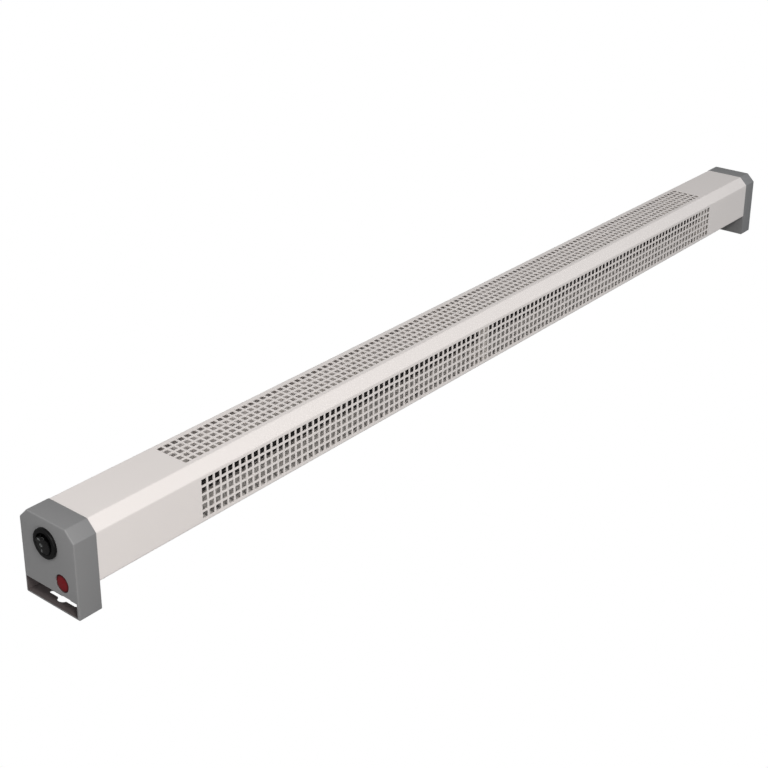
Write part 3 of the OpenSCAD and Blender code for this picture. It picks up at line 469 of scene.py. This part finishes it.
# The side view at a place along the pivot: the round plan cuts its ends shorter towards both sides
def rocker_ring(y):
    reach = math.sqrt(plan_r ** 2 - y ** 2)
    end = []
    for a in (high + (low - high) * k / side_steps for k in range(side_steps + 1)):
        v = min(rocker_r * math.sin(a), reach)
        rise = v * math.tan(tilt)
        end.append((min(max(rocker_r * math.cos(a), back_r + rise), face_r + rise), v))
    side = [(face_r, 0)] + end + [(back_r, 0)] + [(u, -v) for u, v in reversed(end)]
    return [(-u, y, v) for u, v in side]


rocker = bmesh.new()
loft(rocker, [rocker_ring(half_w * math.sin(math.pi / 2 * k / across_steps))
              for k in range(-across_steps, across_steps + 1)])
bmesh.ops.remove_doubles(rocker, verts=rocker.verts, dist=same * mm)
bmesh.ops.recalc_face_normals(rocker, faces=rocker.faces)
face_x = -(face_r - edge_room) * mm
rims = [e for e in rocker.edges
        if e.calc_face_angle(0) > edge_angle and all(v.co.x < face_x for v in e.verts)]
bmesh.ops.bevel(rocker, geom=rims, offset=edge_r * mm, segments=2, affect="EDGES", profile=0.5)
loft(rocker, [[(-u, y, v) for u, v in stem] for y in (-stem_half, stem_half)])
rod(rocker, 0, 0, pin_r, (-pin_half, pin_half))
pressed = Matrix.Rotation(-step, 4, "Y")
move = Matrix.Translation((pivot_x * mm, switch_y * mm, switch_z * mm)) @ pressed
bmesh.ops.transform(rocker, matrix=move, verts=rocker.verts)
piece("rocker_shell", rocker, "rocker", "rocker", ["rocker"])

# Pilot lamp: a low dome in its recess, with the skirt behind it
head_r, dome, head_x, dome_steps = 6.75, 0.3, -499.4, 8
skirt_r, skirt_inner_r, skirt_end_x = 5.75, 4.75, -492
dome_r = (head_r ** 2 + dome ** 2) / (2 * dome)
profile = [(head_x + dome_r * (1 - math.cos(a)), max(dome_r * math.sin(a), off_axis))
           for a in (math.asin(head_r / dome_r) * k / dome_steps for k in range(dome_steps + 1))]
profile += [(recess_x, head_r), (recess_x, skirt_r), (skirt_end_x, skirt_r),
            (skirt_end_x, skirt_inner_r), (recess_x, skirt_inner_r), (recess_x, off_axis)]
lens = bmesh.new()
turned(lens, profile, lamp_y, lamp_z, 64)
piece("lens_dome", lens, "heater", "lens", ["pilot_lens"])


# Colours that change from place to place: masks worked out from the piece's own coordinates
def own_places(name):
    tree = finish[name].node_tree
    coords = add(tree, "ShaderNodeTexCoord", {})
    return add(tree, "ShaderNodeSeparateXYZ", {0: coords.outputs["Object"]}).outputs


def within(value, middle, half):
    return calc("LESS_THAN", calc("ABSOLUTE", calc("SUBTRACT", value, middle * mm)), half * mm)


def bar(at, y, z, wide, tall):
    return calc("MULTIPLY", within(at["Y"], y, wide / 2), within(at["Z"], z, tall / 2))


def from_point(at, y, z):
    off_y, off_z = calc("SUBTRACT", at["Y"], y * mm), calc("SUBTRACT", at["Z"], z * mm)
    return calc("SQRT", calc("ADD", calc("MULTIPLY", off_y, off_y), calc("MULTIPLY", off_z, off_z)))


# The colour goes over to another one as far as the mask says
def recolour(mask, colour):
    tree = mask.id_data
    base = tree.nodes["Principled BSDF"].inputs["Base Color"]
    mixer = add(tree, "ShaderNodeMix", {}, data_type="RGBA")
    tree.links.new(mask, mixer.inputs["Factor"])
    tree.links.new(base.links[0].from_socket, mixer.inputs["A"])
    mixer.inputs["B"].default_value = (*colour, 1)
    tree.links.new(mixer.outputs["Result"], base)


# The rocker's marks, on its outer face only: two bars, a ring and one bar, one above the other
at = own_places("rocker")
mark_y, upper_z, ring_z, lower_z = 3.0, 54.1, 48.8, 44.2
bar_off, bar_wide, single_wide, bar_tall = 0.7, 0.6, 0.7, 2.2
ring_r, ring_half, face_limit_x = 1.05, 0.3, -500.5
two_bars = calc("MAXIMUM", bar(at, mark_y - bar_off, upper_z, bar_wide, bar_tall),
                bar(at, mark_y + bar_off, upper_z, bar_wide, bar_tall))
ring_mark = within(from_point(at, mark_y, ring_z), ring_r, ring_half)
one_bar = bar(at, mark_y, lower_z, single_wide, bar_tall)
marks = calc("MAXIMUM", two_bars, calc("MAXIMUM", ring_mark, one_bar))
on_face = calc("LESS_THAN", at["X"], face_limit_x * mm)
recolour(calc("MULTIPLY", marks, on_face), (0.25, 0.26, 0.26))

# Painted shade: the front element's fins are black, standing for the shade that it lies in, and the
# alike rear element's are bare
recolour(calc("GREATER_THAN", own_places("fins")["Y"], 0), (0.6, 0.57, 0.54))

# Painted shade: the inside of both feet is darkened and a little brown, for the shade inside them
at = own_places("cap")
foot_z, foot_wide, foot_tall, foot_x, foot_half = 11, 55.6, 20.4, 490.5, 9.1
painted_foot_shade = calc("MULTIPLY", bar(at, 0, foot_z, foot_wide, foot_tall),
               within(calc("ABSOLUTE", at["X"]), foot_x, foot_half))
recolour(painted_foot_shade, (0.095, 0.08, 0.08))

# Painted shadow of the recess's edge: the lens is darker towards its rim, most of all at the top
# and the front
bright_y, bright_z, bright_r, dark_r, darkest = -11.8, 22.6, 4.2, 7.2, 0.88
from_bright = from_point(own_places("lens"), bright_y, bright_z)
painted_recess_shadow = add(from_bright.id_data, "ShaderNodeMapRange",
            {"Value": from_bright, "From Min": bright_r * mm, "From Max": dark_r * mm,
             "To Min": 0, "To Max": darkest}, interpolation_type="SMOOTHSTEP")
recolour(painted_recess_shadow.outputs["Result"], (0, 0, 0))


# A surface that the camera sees in one way and the light in another
def by_ray(tree, for_light, for_camera, surface):
    ray = add(tree, "ShaderNodeLightPath", {}).outputs["Is Camera Ray"]
    mixer = add(tree, "ShaderNodeMixShader",
                {0: ray, 1: for_light.outputs[0], 2: for_camera.outputs[0]})
    tree.links.new(mixer.outputs[0], surface)


# Floor: white to the camera, dark grey in the light that it returns
white = bpy.data.materials.new("White floor")
white.use_nodes = True
paint = white.node_tree.nodes["Principled BSDF"]
paint.inputs["Base Color"].default_value = (0.2, 0.2, 0.2, 1)
paint.inputs["Roughness"].default_value = 0.9
glow = add(white.node_tree, "ShaderNodeEmission", {"Color": (1, 1, 1, 1)})
by_ray(white.node_tree, paint, glow, white.node_tree.nodes["Material Output"].inputs["Surface"])
floor = bmesh.new()
bmesh.ops.create_grid(floor, x_segments=1, y_segments=1, size=30)
floor_mesh = as_mesh(floor, "Floor")
floor_mesh.materials.append(white)
ground = linked("Floor", floor_mesh)

# Surroundings: white to the camera, a weaker even light on the heater
world = bpy.data.worlds.new("Studio")
scene.world = world
world.use_nodes = True
sky = world.node_tree
dim = sky.nodes["Background"]
dim.inputs["Color"].default_value = (1, 1, 1, 1)
dim.inputs["Strength"].default_value = 0.36
shown = add(sky, "ShaderNodeBackground", {"Color": (1, 1, 1, 1), "Strength": 1})
by_ray(sky, dim, shown, sky.nodes["World Output"].inputs["Surface"])

# Soft studio lights, with place, target, size, power and colour: a high key in front of the
# switch's end, a low one from the front, a weak fill at the switch's end and a cool one at the far
# end
for name, where, target, size, power, colour in (
        ("Key", (-1.1, -1.6, 1.75), (-0.1, 0, 0.05), (0.5, 0.5), 30, (1, 0.98, 0.955)),
        ("Front", (-1.4, -2.1, 0.35), (-0.1, 0, 0.05), (0.8, 0.5), 14, (1, 0.985, 0.965)),
        ("Fill", (-1.6, 0.1, 0.7), (-0.5, 0, 0.05), (0.8, 0.8), 6, (1, 1, 1)),
        ("Cool", (1.3, -1.2, 0.9), (0.5, 0, 0.05), (0.8, 0.8), 3.5, (0.76, 0.89, 1))):
    data = bpy.data.lights.new(name, "AREA")
    data.shape = "RECTANGLE"
    data.size, data.size_y = size
    data.energy = power
    data.color = colour
    lamp = linked(name, data)
    lamp.location = where
    lamp.rotation_euler = (Vector(target) - Vector(where)).to_track_quat("-Z", "Y").to_euler()

# Camera: fitted to the photograph, with part of its keystone correction as a vertical shift
camera_place = (-0.994, -0.694, 0.576)
azimuth, down, roll = math.radians(39.22), math.radians(21.73), math.radians(0.28)
camera_data = bpy.data.cameras.new("Camera")
camera_data.lens = 66.9
camera_data.sensor_width = 36
camera_data.shift_y = -0.1482
camera_data.clip_start = 0.05
camera_data.clip_end = 100
camera = linked("Camera", camera_data)
scene.camera = camera
forward = Vector((math.cos(down) * math.cos(azimuth), math.cos(down) * math.sin(azimuth),
                  -math.sin(down)))
level = forward.cross(Vector((0, 0, 1))).normalized()
upright = level.cross(forward)
right = level * math.cos(roll) + upright * math.sin(roll)
above = upright * math.cos(roll) - level * math.sin(roll)
turn = Matrix((right, above, -forward)).transposed().to_4x4()
camera.matrix_world = Matrix.Translation(camera_place) @ turn
scene.view_settings.view_transform = "Standard"
